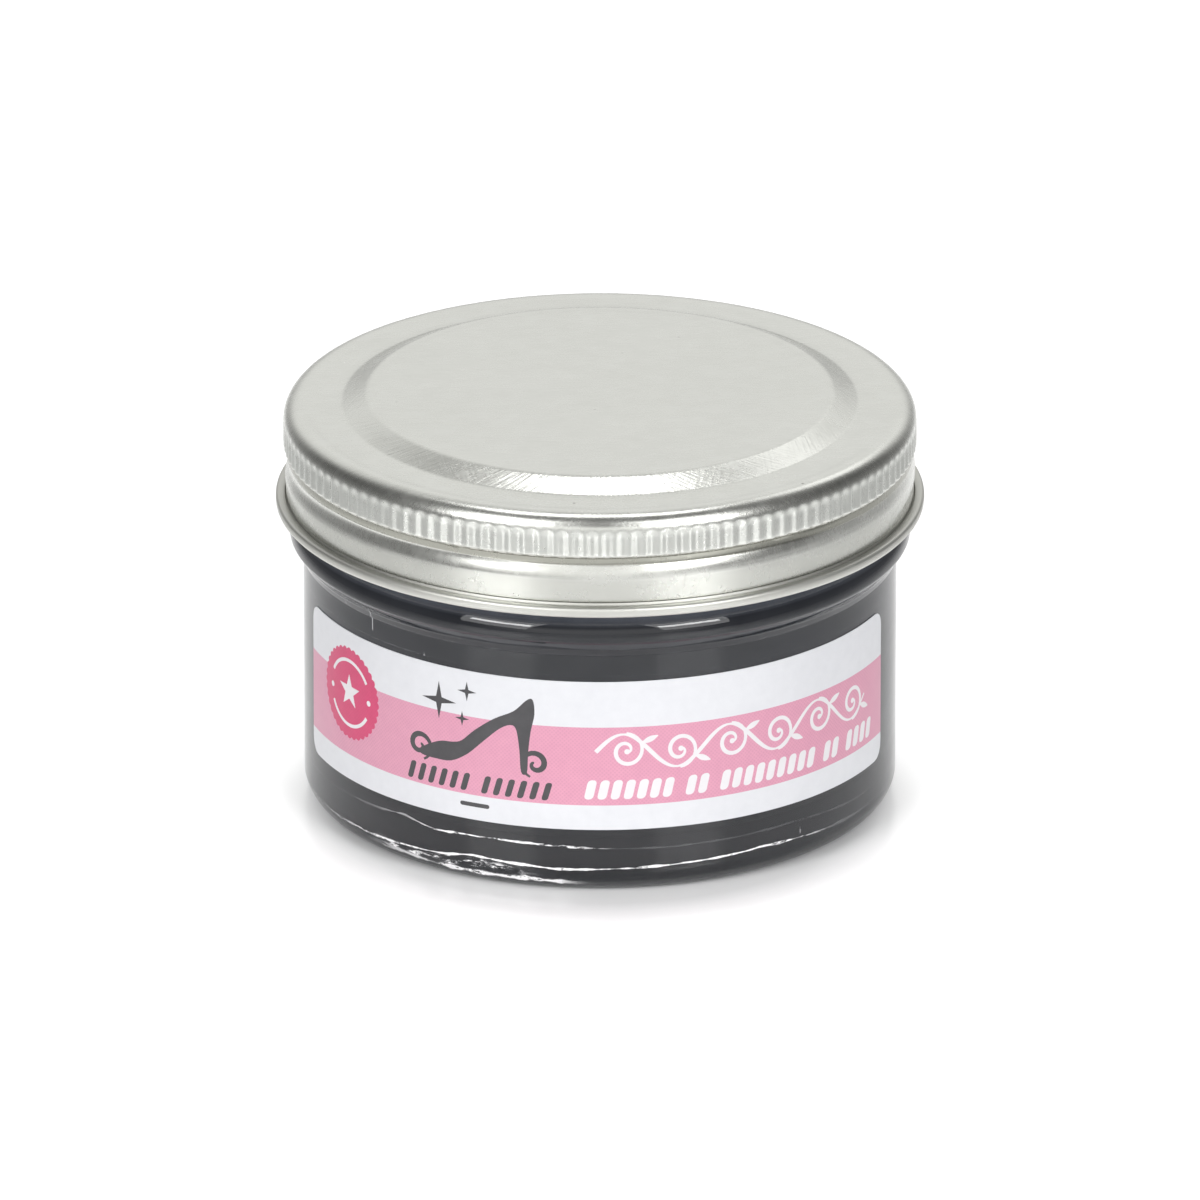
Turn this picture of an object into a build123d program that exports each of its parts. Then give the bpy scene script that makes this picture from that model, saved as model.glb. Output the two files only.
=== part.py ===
from build123d import *
import os

os.makedirs("parts", exist_ok=True)

# Shoe cream jar: a low round glass jar of about 50 ml with a screw-on tinplate lid.
# Millimetres. The jar stands on z = 0 with its axis on Z, and the front faces -Y.
# Angles on the wall are in degrees from the front, positive towards +X, which is
# anticlockwise seen from above.
front_direction = -90.0

# Glass jar, outside
body_radius = 28.0
body_top = 24.2
heel_radius = 2.4
bead_radius = 29.3
bead_low = 25.9
bead_high = 27.9
neck_radius = 27.5
neck_low = 28.75
mouth_height = 37.35
bearing_radius = 21.5
push_up = 0.9
push_up_edge = 1.8
outside_fillets = [1.0, 0.6, heel_radius, 0.4, 0.6, 2.5, 0.15, 0.8]

# Glass jar, inside
cavity_radius = 25.3
cavity_top = 26.0
bore_radius = 24.8
bore_low = 28.0
floor_height = 4.2
mouth_fillet = 0.8
cavity_fillets = [1.0, 1.0, 4.0]

# Screw thread of the 58-400 glass finish: six turns to the inch, right-handed
pitch = 25.4 / 6
jar_thread_crest = 28.75
jar_thread_crest_width = 1.2
jar_thread_root_width = 2.6
jar_thread_root = 27.2
jar_thread_start = -352.0
jar_thread_end = 8.0
jar_thread_top = 35.0

# Tinplate lid
sheet = 0.25
lid_top = 39.85
plateau_radius = 21.9
bevel_radius = 24.3
panel_height = 38.7
knurl_radius = 29.84
shoulder_radius = 1.67
knurl_low = 34.6
knurl_high = 37.2
flute_count = 132
flute_radius = 0.42
flute_depth = 0.12
skirt_radius = 29.55
skirt_high = 34.2
skirt_low = 30.05
curl_centre_radius = 30.12
curl_height = 29.34
curl_radius = 0.5
curl_bore = 0.28
curl_turn = -290
panel_fillets = [1.0, 0.8]
knurl_fillets = [0.15, 0.3]

# Thread ridge pressed into the lid's skirt. It leaves a groove on the outside.
lid_thread_crest = 28.3
lid_thread_crest_width = 0.4
lid_thread_base = 29.45
lid_thread_base_width = 2.0
lid_groove_floor = 28.75
lid_groove_floor_width = 0.3
lid_groove_mouth = 30.04
lid_groove_mouth_width = 2.2
lid_thread_start = -265.0
lid_thread_end = 42.0
lid_thread_top = 34.1

# Sealing liner, loose in the lid
liner_radius = 28.2
liner_thickness = 1.0
liner_edge = 0.12
seat_gap = 0.05

# Shoe cream, filled to the bottom of the neck
cream_height = 30.0

# Labels, stuck on the jar's straight wall
label_thickness = 0.1
label_low = 6.6
label_high = 21.5
label_corner = 1.5
front_label_from = -73.9
front_label_to = 70.2
rear_label_from = 128.0
rear_label_to = 232.0


def thread(start, end, end_height, inner, inner_width, outer, outer_width, mode=Mode.ADD):
    """A thread between two angles on the wall. Its section is a trapezoid, given by the
    radius and the width of its inner and outer sides."""
    rise = pitch * (end - start) / 360
    with BuildLine() as centreline:
        Helix(pitch=pitch, height=rise, radius=inner, center=(0, 0, end_height - rise))
    path = centreline.line.rotate(Axis.Z, front_direction + start)
    outward = Vector(1, 0, 0).rotate(Axis.Z, front_direction + start)
    with BuildSketch(Plane(origin=path @ 0, x_dir=outward, z_dir=path % 0)) as section:
        Polygon(
            (0, -inner_width / 2),
            (outer - inner, -outer_width / 2),
            (outer - inner, outer_width / 2),
            (0, inner_width / 2),
            align=None,
        )
    sweep(sections=section.sketch, path=path, is_frenet=True, mode=mode)


# ---------------------------------------------------------------- glass jar
# The cavity's outline is shared with the cream that fills it.
cavity = [
    (bore_radius, bore_low),
    (cavity_radius, cavity_top),
    (cavity_radius, floor_height),
    (0, floor_height),
]

with BuildPart() as glass_jar:
    with BuildSketch(Plane.XZ):
        with BuildLine():
            outside = FilletPolyline(
                (0, push_up),
                (bearing_radius - push_up_edge, push_up),
                (bearing_radius, 0),
                (body_radius, 0),
                (body_radius, body_top),
                (bead_radius, bead_low),
                (bead_radius, bead_high),
                (neck_radius, neck_low),
                (neck_radius, mouth_height),
                ((neck_radius + bore_radius) / 2, mouth_height),
                radius=outside_fillets,
            )
            inside = FilletPolyline(
                outside @ 1,
                (bore_radius, mouth_height),
                *cavity,
                radius=[mouth_fillet, *cavity_fillets],
            )
            Line(inside @ 1, outside @ 0)
        make_face()
    revolve(axis=Axis.Z)
    thread(
        jar_thread_start,
        jar_thread_end,
        jar_thread_top,
        jar_thread_root,
        jar_thread_root_width,
        jar_thread_crest,
        jar_thread_crest_width,
    )
glass_jar.part.label = "glass_jar"

# --------------------------------------------------------------- shoe cream
with BuildPart() as shoe_cream:
    with BuildSketch(Plane.XZ):
        with BuildLine():
            side = FilletPolyline((bore_radius, cream_height), *cavity, radius=cavity_fillets)
            Polyline(side @ 1, (0, cream_height), side @ 0)
        make_face()
    revolve(axis=Axis.Z)
shoe_cream.part.label = "shoe_cream"


# ------------------------------------------------------------------- labels
def label(start, end):
    """A thin rounded sheet wrapped on the jar's wall between two angles."""
    with BuildPart() as sheet_label:
        with BuildSketch(Plane.XY.offset(label_low)):
            with BuildLine():
                back = CenterArc((0, 0), body_radius, front_direction + start, end - start)
                face_radius = body_radius + label_thickness
                face = CenterArc((0, 0), face_radius, front_direction + start, end - start)
                Line(back @ 0, face @ 0)
                Line(back @ 1, face @ 1)
            make_face()
        extrude(amount=label_high - label_low)
        ends = [
            edge
            for edge in sheet_label.edges().filter_by(GeomType.LINE)
            if edge.length < 2 * label_thickness
        ]
        fillet(ends, label_corner)
    return sheet_label


front_label = label(front_label_from, front_label_to)
front_label.part.label = "front_label"

rear_label = label(rear_label_from, rear_label_to)
rear_label.part.label = "rear_label"

# -------------------------------------------------------------------- liner
liner_low = mouth_height + seat_gap

with BuildPart() as lid_liner:
    with BuildSketch(Plane.XY.offset(liner_low)):
        Circle(liner_radius)
    extrude(amount=liner_thickness)
    fillet(lid_liner.edges(), liner_edge)
lid_liner.part.label = "lid_liner"

# ---------------------------------------------------------------- lid shell
panel_underside = liner_low + liner_thickness + seat_gap
inner_radius = skirt_radius - sheet

with BuildPart() as lid_shell:
    with BuildSketch(Plane.XZ):
        with BuildLine():
            upper = FilletPolyline(
                (0, lid_top),
                (plateau_radius, lid_top),
                (bevel_radius, panel_height),
                (knurl_radius, panel_height),
                (knurl_radius, knurl_low),
                (skirt_radius, skirt_high),
                (skirt_radius, skirt_low),
                radius=[*panel_fillets, shoulder_radius, *knurl_fillets],
            )
            lower = FilletPolyline(
                (0, lid_top - sheet),
                (plateau_radius - sheet / 2, lid_top - sheet),
                (bevel_radius - sheet / 2, panel_underside),
                (inner_radius, panel_underside),
                (inner_radius, skirt_low),
                radius=[*panel_fillets, shoulder_radius - sheet],
            )
            Line(upper @ 0, lower @ 0)
            Line(upper @ 1, lower @ 1)
        make_face()
        # The skirt flares out at its foot and rolls over into an open curl.
        with BuildLine():
            roll = CenterArc((curl_centre_radius, curl_height), curl_radius, 90, curl_turn)
            bore = CenterArc((curl_centre_radius, curl_height), curl_bore, 90, curl_turn)
            Line(roll @ 0, bore @ 0)
            Line(roll @ 1, bore @ 1)
        make_face()
        with BuildLine():
            Polyline(upper @ 1, lower @ 1, bore @ 0, roll @ 0, close=True)
        make_face()
    revolve(axis=Axis.Z)
    thread(
        lid_thread_start,
        lid_thread_end,
        lid_thread_top,
        lid_thread_crest,
        lid_thread_crest_width,
        lid_thread_base,
        lid_thread_base_width,
    )
    thread(
        lid_thread_start,
        lid_thread_end,
        lid_thread_top,
        lid_groove_floor,
        lid_groove_floor_width,
        lid_groove_mouth,
        lid_groove_mouth_width,
        mode=Mode.SUBTRACT,
    )
    with BuildSketch(Plane.XY.offset(knurl_low)):
        with PolarLocations(knurl_radius + flute_radius - flute_depth, flute_count):
            Circle(flute_radius)
    extrude(amount=knurl_high - knurl_low, mode=Mode.SUBTRACT)
lid_shell.part.label = "lid_shell"

# -------------------------------------------------------------------- files
for piece in (glass_jar, shoe_cream, front_label, rear_label, lid_liner, lid_shell):
    export_step(piece.part, f"parts/{piece.part.label}.step")
    print(piece.part.label, "solids", len(piece.part.solids()), "volume", round(piece.part.volume))
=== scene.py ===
"""Looks of the shoe cream jar: a low glass jar of black cream with a screwed tinplate lid."""
import math
import random

import bpy
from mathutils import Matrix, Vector, noise
from mathutils.geometry import delaunay_2d_cdt

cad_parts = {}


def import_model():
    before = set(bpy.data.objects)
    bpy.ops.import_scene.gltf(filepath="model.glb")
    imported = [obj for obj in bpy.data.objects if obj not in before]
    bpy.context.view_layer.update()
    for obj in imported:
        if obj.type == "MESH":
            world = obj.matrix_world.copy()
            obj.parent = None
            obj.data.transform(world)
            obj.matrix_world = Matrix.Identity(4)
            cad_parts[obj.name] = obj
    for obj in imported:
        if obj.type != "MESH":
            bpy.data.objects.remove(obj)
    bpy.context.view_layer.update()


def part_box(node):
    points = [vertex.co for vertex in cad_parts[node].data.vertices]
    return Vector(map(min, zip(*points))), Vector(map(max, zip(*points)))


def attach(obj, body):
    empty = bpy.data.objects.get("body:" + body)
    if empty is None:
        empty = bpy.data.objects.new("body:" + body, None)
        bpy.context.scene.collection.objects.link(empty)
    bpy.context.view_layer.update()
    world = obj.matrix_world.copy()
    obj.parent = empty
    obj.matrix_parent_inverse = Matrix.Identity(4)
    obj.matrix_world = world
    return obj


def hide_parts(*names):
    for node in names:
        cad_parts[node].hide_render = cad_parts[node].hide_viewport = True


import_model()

MM = 0.001
TURN = 2 * math.pi
FRONT = -math.pi / 2  # angles on the wall are counted from the front, towards +X

lid_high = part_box("lid_shell")[1] / MM
jar_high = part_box("glass_jar")[1] / MM
cream_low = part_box("shoe_cream")[0] / MM
liner_low, liner_high = (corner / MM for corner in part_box("lid_liner"))
label_low, label_high = (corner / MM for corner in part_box("front_label"))

# Lid, in millimetres. Single values are radii or heights, pairs are (radius, height).
SHEET = 0.24
LID_TOP = lid_high.z
PLATEAU = 21.9
BEVEL = 24.3
PANEL = 38.7
PANEL_EDGE = 27.5
KNURL = 29.83
SHOULDER = 1.67
KNURL_LOW = 34.85
KNURL_HIGH = 37.35
FLUTES = 132
FLUTE_DEPTH = 0.18
STEP = (29.54, KNURL_LOW - 0.38)
GROOVE = (29.52, 33.72)
BULGE = (29.72, 32.5)
FOOT = (29.60, 30.14)
GUTTER_TOP = (29.45, 30.05)
GUTTER_LOW = (29.58, 29.64)
PITCH = 25.4 / 6
LID_THREAD_TOP = 34.5
LID_THREAD_FROM = math.radians(-285)
LID_THREAD_TO = math.radians(42)
LID_THREAD_DEPTH = 0.5
LID_THREAD_WIDTHS = (1.4, 0.8)
LID_THREAD_FADE = math.radians(10)
CURL_ACROSS = 30.04
CURL_UP = 29.36
CURL = 0.41
CURL_TALL = 0.40
CURL_ROUNDNESS = 0.55  # 1 is an ellipse, less is squarer

# Jar, in millimetres
BODY = 28.0
BEAD = jar_high.x
MOUTH = jar_high.z
NECK = 27.5
BORE = 24.8
BORE_LOW = 28.0
CAVITY = 25.3
CAVITY_HIGH = 26.0
CAVITY_ROUND = 4.0
FILM_EDGE = (27.3, 28.3)
FLOOR = cream_low.z
PUSH_UP = 0.9
BASE_RING = 21.5
HEEL = 2.4
JAR_THREAD_TOP = 35.5
JAR_THREAD_TO = math.radians(8)
JAR_THREAD_FROM = JAR_THREAD_TO - TURN
JAR_THREAD_HEIGHT = 1.22
JAR_THREAD_WIDTHS = (1.25, 1.25)
JAR_THREAD_FADE = math.radians(6)
SEAM = math.radians(104)

# Labels: their ends in degrees from the front, sizes in millimetres
FRONT_LABEL = (-73.9, 70.2)
REAR_LABEL = (128.0, 232.0)
LABEL_CORNER = 1.5
LABEL_FACE = -label_low.y
LABEL_MIDDLE = BODY + 0.05

# Label print, by material slot
PAPER, PINK, MAGENTA, DARK, WHITE = range(5)


# ------------------------------------------------------------------ mesh tools
def smoothstep(low, high, x):
    t = min(1.0, max(0.0, (x - low) / (high - low)))
    return t * t * (3 - 2 * t)


def subdivided(points, spacing):
    """The same line with no gap longer than the spacing, a number or a function of the point."""
    line = [points[0]]
    for point in points[1:]:
        first = line[-1]
        gap = spacing(point) if callable(spacing) else spacing
        pieces = max(1, math.ceil((point - first).length / gap))
        line += [first.lerp(point, i / pieces) for i in range(1, pieces + 1)]
    return line


def rounded(corners, arc_step):
    """Points along a line of corners (across, up, fillet), with its corners rounded."""
    points = [Vector(corners[0][:2])]
    for before, corner, after in zip(corners, corners[1:], corners[2:]):
        a, b, c = (Vector(p[:2]) for p in (before, corner, after))
        into, out = (b - a).normalized(), (c - b).normalized()
        turn = math.atan2(into.x * out.y - into.y * out.x, into.dot(out))
        tangent = corner[2] * math.tan(abs(turn) / 2)
        start = b - into * tangent
        side = Vector((-into.y, into.x)) * math.copysign(1, turn)
        centre = start + side * corner[2]
        steps = max(2, math.ceil(abs(turn) / arc_step))
        for i in range(steps + 1):
            cos, sin = math.cos(turn * i / steps), math.sin(turn * i / steps)
            arm = start - centre
            points.append(centre + Vector((arm.x * cos - arm.y * sin, arm.x * sin + arm.y * cos)))
    points.append(Vector(corners[-1][:2]))
    return [p for i, p in enumerate(points) if i == 0 or (p - points[i - 1]).length > 1e-4]


def normals(line):
    """Unit normals to the left of a line's points."""
    result = []
    for i in range(len(line)):
        along = line[min(i + 1, len(line) - 1)] - line[max(i - 1, 0)]
        along.normalize()
        result.append(Vector((-along.y, along.x)))
    return result


def ring(point, count, relief=None, middle=None):
    """Points round the axis at one profile point. The relief of that point, or of the middle of
    the sheet it belongs to, moves them outwards and up."""
    if point.x < 1e-6:
        return [Vector((0, 0, point.y))]
    middle = middle or point
    points = []
    for i in range(count):
        angle = TURN * i / count
        move = relief(angle, middle) if relief else Vector((0, 0))
        across = point.x + move.x
        cos, sin = math.cos(FRONT + angle), math.sin(FRONT + angle)
        points.append(Vector((across * cos, across * sin, point.y + move.y)))
    return points


def skin(rings):
    """Faces over rings of points in a row, where neighbours may differ by a whole factor."""
    points, faces, start = [], [], 0
    points += rings[0]
    for first, second in zip(rings, rings[1:]):
        a, b = start, start + len(first)
        m, n = len(first), len(second)
        points += second
        if m == 1:
            faces += [[a, b + i, b + (i + 1) % n] for i in range(n)]
        elif n == 1:
            faces += [[a + i, b, a + (i + 1) % m] for i in range(m)]
        elif m <= n:
            k = n // m
            for i in range(m):
                many = [b + (k * i + j) % n for j in range(k + 1)]
                faces.append([a + i] + many + [a + (i + 1) % m])
        else:
            k = m // n
            for i in range(n):
                many = [a + (k * i + j) % m for j in range(k, -1, -1)]
                faces.append([b + i, b + (i + 1) % n] + many)
        start = b
    return points, faces


def mesh_object(name, points, faces, materials, slots=None):
    """A smooth mesh object from points in millimetres."""
    mesh = bpy.data.meshes.new(name)
    mesh.from_pydata([[c * MM for c in p] for p in points], [], faces)
    for material in materials:
        mesh.materials.append(material)
    if slots is not None:
        mesh.polygons.foreach_set("material_index", slots)
    mesh.polygons.foreach_set("use_smooth", [True] * len(mesh.polygons))
    mesh.update()
    mesh.set_sharp_from_angle(angle=math.radians(50))
    piece = bpy.data.objects.new(name, mesh)
    bpy.context.scene.collection.objects.link(piece)
    return piece


# -------------------------------------------------------------- material tools
class Nodes:
    """A material's nodes, with its Principled shader at hand."""

    def __init__(self, name):
        self.material = bpy.data.materials.new(name)
        self.material.use_nodes = True
        self.tree = self.material.node_tree
        self.shader = self.tree.nodes["Principled BSDF"]
        self.coordinates = None

    def link(self, source, target):
        self.tree.links.new(source, target)

    def add(self, kind, inputs=(), **settings):
        node = self.tree.nodes.new(kind)
        for key, value in settings.items():
            setattr(node, key, value)
        for key, value in dict(inputs).items():
            if isinstance(value, bpy.types.NodeSocket):
                self.link(value, node.inputs[key])
            else:
                node.inputs[key].default_value = value
        return node

    def place(self):
        """Object coordinates, in metres."""
        if self.coordinates is None:
            self.coordinates = self.add("ShaderNodeTexCoord")
        return self.coordinates.outputs["Object"]

    def math(self, operation, *values):
        node = self.add("ShaderNodeMath", operation=operation)
        for i, value in enumerate(values):
            if isinstance(value, bpy.types.NodeSocket):
                self.link(value, node.inputs[i])
            else:
                node.inputs[i].default_value = value
        return node.outputs[0]

    def stretch(self, vector, scale):
        return self.add("ShaderNodeMapping", {"Vector": vector, "Scale": scale}).outputs[0]

    def join(self, x, y, z):
        return self.add("ShaderNodeCombineXYZ", {"X": x, "Y": y, "Z": z}).outputs[0]

    def wall(self, radius):
        """Coordinates on the wall: length round it, height and distance from the axis, in metres."""
        parts = self.add("ShaderNodeSeparateXYZ", {"Vector": self.place()})
        x, y, up = parts.outputs
        angle = self.math("ARCTAN2", x, self.both(y, -1.0))
        across = self.math("SQRT", self.math("ADD", self.both(x, x), self.both(y, y)))
        length = self.both(angle, radius)
        return self.join(length, up, across), angle, up, across

    def noise(self, vector, scale, detail=3.0, roughness=0.55):
        inputs = {"Vector": vector, "Scale": scale, "Detail": detail, "Roughness": roughness}
        return self.add("ShaderNodeTexNoise", inputs).outputs["Fac"]

    def cells(self, vector, scale, randomness=1.0, **settings):
        """Distances to scattered points."""
        inputs = {"Vector": vector, "Scale": scale, "Randomness": randomness}
        return self.add("ShaderNodeTexVoronoi", inputs, **settings).outputs["Distance"]

    def turned(self, vector, angle):
        inputs = {"Vector": vector, "Angle": angle}
        return self.add("ShaderNodeVectorRotate", inputs, rotation_type="Z_AXIS").outputs[0]

    def ramp(self, value, *stops):
        """A colour ramp. Each stop is a position and a grey or a colour."""
        node = self.add("ShaderNodeValToRGB", {"Fac": value})
        elements = node.color_ramp.elements
        while len(elements) < len(stops):
            elements.new(0.5)
        for element, (position, colour) in zip(elements, stops):
            element.position = position
            if isinstance(colour, (int, float)):
                colour = (colour, colour, colour)
            element.color = (*colour, 1.0)
        return node.outputs["Color"]

    def remap(self, value, low, high, to_low, to_high):
        limits = {"From Min": low, "From Max": high, "To Min": to_low, "To Max": to_high}
        return self.add("ShaderNodeMapRange", {"Value": value, **limits}).outputs["Result"]

    def rise(self, value, low, high):
        """0 below the low length and 1 above the high one, both in millimetres."""
        return self.remap(value, low * MM, high * MM, 0.0, 1.0)

    def fall(self, value, low, high):
        """1 below the low length and 0 above the high one, both in millimetres."""
        return self.remap(value, low * MM, high * MM, 1.0, 0.0)

    def both(self, first, second):
        return self.math("MULTIPLY", first, second)

    def mix(self, factor, first, second, blend="MIX"):
        node = self.add("ShaderNodeMix", data_type="RGBA", blend_type=blend)
        for key, value in (("Factor", factor), ("A", first), ("B", second)):
            socket = [s for s in node.inputs if s.name == key and s.enabled][0]
            if isinstance(value, bpy.types.NodeSocket):
                self.link(value, socket)
            elif key == "Factor":
                socket.default_value = value
            else:
                socket.default_value = (*value, 1.0)
        return [s for s in node.outputs if s.enabled][0]

    def bump(self, height, distance, strength, normal=None):
        inputs = {"Height": height, "Distance": distance, "Strength": strength}
        if normal is not None:
            inputs["Normal"] = normal
        return self.add("ShaderNodeBump", inputs).outputs["Normal"]

    def set(self, **sockets):
        """Sets the shader's sockets, by name with _ for a space, to a number or a socket."""
        for key, value in sockets.items():
            socket = self.shader.inputs[key.replace("_", " ")]
            if isinstance(value, bpy.types.NodeSocket):
                self.link(value, socket)
            elif socket.type == "RGBA":
                socket.default_value = (*value, 1.0)
            else:
                socket.default_value = value


# ------------------------------------------------------------------- materials
def tinplate():
    """Satin tinned steel: fine rolling grain, cross scratches on the pressed edges, and specks."""
    n = Nodes("satin_tinplate")
    place = n.place()
    around, angle, up, across = n.wall(0.03)
    polar = n.join(n.both(angle, 0.024), across, up)
    wall = n.rise(across, 28.0, 29.2)
    bevel = n.both(n.rise(across, PLATEAU - 0.7, PLATEAU + 0.3), n.fall(across, BEVEL, BEVEL + 0.9))
    shoulder = n.both(n.rise(across, 27.5, 28.5), n.rise(up, PANEL - 1.9, PANEL - 1.1))

    grain = n.noise(n.stretch(place, (500, 3600, 900)), 1.0, 3.0, 0.6)
    upright = n.noise(n.stretch(around, (5200, 500, 60)), 1.0, 3.0, 0.6)
    left_hatch = n.noise(n.stretch(n.turned(polar, 0.9), (5200, 420, 60)), 1.0, 2.0, 0.5)
    right_hatch = n.noise(n.stretch(n.turned(polar, -0.7), (4600, 380, 60)), 1.0, 2.0, 0.5)
    hatch = n.math("ADD", left_hatch, right_hatch)
    mottle = n.noise(place, 420.0, 3.0, 0.6)
    cloud = n.noise(place, 70.0, 2.0, 0.5)
    speck = n.ramp(n.cells(place, 330.0), (0.035, 1.0), (0.06, 0.0))
    few = n.ramp(n.noise(place, 120.0, 1.0), (0.62, 0.0), (0.68, 1.0))

    tone = n.mix(0.5, grain, mottle)
    colour = n.ramp(tone, (0.32, (0.65, 0.655, 0.62)), (0.68, (0.73, 0.735, 0.70)))
    # The flutes are a little darker. The groove under them and the foot below the bulge are darkened as
    # painted shade.
    flutes = n.both(
        n.rise(up, KNURL_LOW - 0.25, KNURL_LOW + 0.15), n.fall(up, KNURL_HIGH - 0.35, KNURL_HIGH + 0.25)
    )
    groove = n.both(
        n.rise(up, GROOVE[1] - 0.04, GROOVE[1] + 0.10), n.fall(up, KNURL_LOW - 0.35, KNURL_LOW - 0.10)
    )
    foot = n.fall(up, BULGE[1] - 0.7, BULGE[1] + 0.1)
    curl = n.both(n.rise(across, 29.3, 29.5), n.fall(up, GUTTER_TOP[1] - 0.10, GUTTER_TOP[1] + 0.05))
    colour = n.mix(n.both(flutes, wall), colour, (0.60, 0.61, 0.58))
    # Painted shade in the groove under the flutes.
    colour = n.mix(n.both(groove, wall), colour, (0.35, 0.35, 0.31))
    # Painted shade on the foot below the bulge.
    colour = n.mix(n.both(foot, wall), colour, (0.55, 0.555, 0.52))
    colour = n.mix(curl, colour, (0.61, 0.61, 0.575))
    colour = n.mix(n.both(n.both(speck, few), 0.7), colour, (0.19, 0.18, 0.16))
    rough = n.remap(mottle, 0.3, 0.7, 0.245, 0.285)
    rough = n.math("ADD", rough, n.remap(cloud, 0.35, 0.65, -0.008, 0.012))
    rough = n.math("ADD", rough, n.remap(grain, 0.3, 0.7, -0.015, 0.02))
    rough = n.math("ADD", rough, n.both(curl, 0.20))

    scratched = n.math("MAXIMUM", bevel, n.both(shoulder, 0.3))
    normal = n.bump(grain, 0.004 * MM, 0.35)
    normal = n.bump(n.both(upright, wall), 0.005 * MM, 0.35, normal)
    normal = n.bump(n.both(hatch, scratched), 0.026 * MM, 0.8, normal)
    n.set(Base_Color=colour, Metallic=1.0, Roughness=rough, Normal=normal)
    return n.material


# Lines of painted glints, standing in for light caught in the glass: heights and strengths by degrees
# from the front, half width and drift, and how much of the line is broken away. Lengths are in
# millimetres.
GLINT_LINES = (
    (
        (
            (-90, 4.6), (-52, 5.0), (-41, 5.35), (-34, 4.75), (-20, 5.0),
            (0, 4.7), (15, 4.55), (40, 4.7), (60, 4.2),
        ),
        ((-62, 0.1), (-50, 0.3), (-38, 0.6), (-30, 1.0), (-5, 0.9), (4, 0.2), (50, 0.16), (75, 0.1)),
        0.14, 0.06, 0.37,
    ),
    (
        (
            (-60, 2.1), (-46, 2.2), (-32, 2.5), (-25, 2.95), (-8, 2.5),
            (0, 2.6), (20, 2.8), (33, 3.08), (50, 2.75),
        ),
        ((-66, 0.4), (-48, 0.9), (-25, 1.0), (0, 1.0), (42, 1.0), (50, 0.3), (70, 0.1)),
        0.16, 0.05, 0.36,
    ),
    (
        ((-60, 1.4), (-46, 1.6), (-28, 1.15), (-15, 1.25), (0, 0.95), (30, 1.0)),
        ((-52, 0.0), (-44, 0.7), (-28, 1.0), (-8, 1.0), (-2, 0.0)),
        0.36, 0.08, 0.34,
    ),
    (
        ((-50, 1.9), (-38, 1.9), (-24, 2.2), (-10, 2.0)),
        ((-52, 0.0), (-44, 0.9), (-20, 0.9), (-10, 0.0)),
        0.65, 0.10, 0.49,
    ),
    (
        ((-80, 22.2), (-30, 22.05), (30, 22.1), (80, 22.0)),
        ((-72, 0.12), (-60, 0.25), (-35, 0.2), (-25, 0.05), (70, 0.08)),
        0.06, 0.02, 0.36,
    ),
    (
        ((-80, 24.15), (80, 24.15)),
        ((-80, 0.08), (-30, 0.22), (0, 0.12), (30, 0.18), (80, 0.05)),
        0.06, 0.02, 0.40,
    ),
)

# Short upright painted glints: degrees from the front, lowest and highest point, strength
GLINT_TICKS = (
    (-49.6, 22.7, 25.2, 0.6),
    (-57.5, 24.0, 25.5, 0.35),
    (-36.0, 21.9, 22.5, 0.5),
    (42.2, 3.2, 4.0, 0.5),
)


def track(stops, full):
    """Ramp stops round the wall from (degrees from the front, value) pairs, with values scaled."""
    return [(0.5 + angle / 360, value * full) for angle, value in stops]


def painted_glints(n):
    """Painted glints, pale broken lines and ticks that stand in for light caught in the glass, round
    the heel, the label's upper edge and the shoulder.
    """
    around, angle, up, across = n.wall(BODY * MM)
    round_it = n.remap(angle, -math.pi, math.pi, 0.0, 1.0)
    wander = n.noise(n.stretch(around, (180, 1, 1)), 1.0, 4.0, 0.6)
    patches = n.noise(n.stretch(around, (650, 2100, 90)), 1.0, 4.0, 0.7)
    thickness = n.noise(n.stretch(around, (320, 60, 1)), 1.0, 3.0, 0.6)
    thickness = n.remap(thickness, 0.35, 0.65, 0.35, 1.3)
    glints = None
    for heights, strengths, width, drift, breaks in GLINT_LINES:
        # A ramp holds values up to 1, so the heights pass through it as centimetres.
        height = n.both(n.ramp(round_it, *track(heights, 0.1)), 10 * MM)
        height = n.math("ADD", height, n.remap(wander, 0.3, 0.7, -drift * MM, drift * MM))
        far = n.math("ABSOLUTE", n.math("SUBTRACT", up, height))
        line = n.math("SUBTRACT", thickness, n.math("DIVIDE", far, width * MM))
        line = n.remap(line, 0.0, 0.5, 0.0, 1.0)
        line = n.both(line, n.remap(patches, breaks, breaks + 0.1, 0.0, 1.0))
        line = n.both(line, n.ramp(round_it, *track(strengths, 1.0)))
        glints = line if glints is None else n.math("MAXIMUM", glints, line)
    for degrees, low, high, strength in GLINT_TICKS:
        far = n.math("ABSOLUTE", n.math("SUBTRACT", angle, math.radians(degrees)))
        tick = n.remap(far, 0.0035, 0.0015, 0.0, strength)
        tick = n.both(tick, n.rise(up, low, low + 0.15))
        tick = n.both(tick, n.fall(up, high - 0.4, high))
        glints = n.math("MAXIMUM", glints, tick)
    return n.both(glints, n.rise(across, BODY - 2.5, BODY - 1.5))


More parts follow.
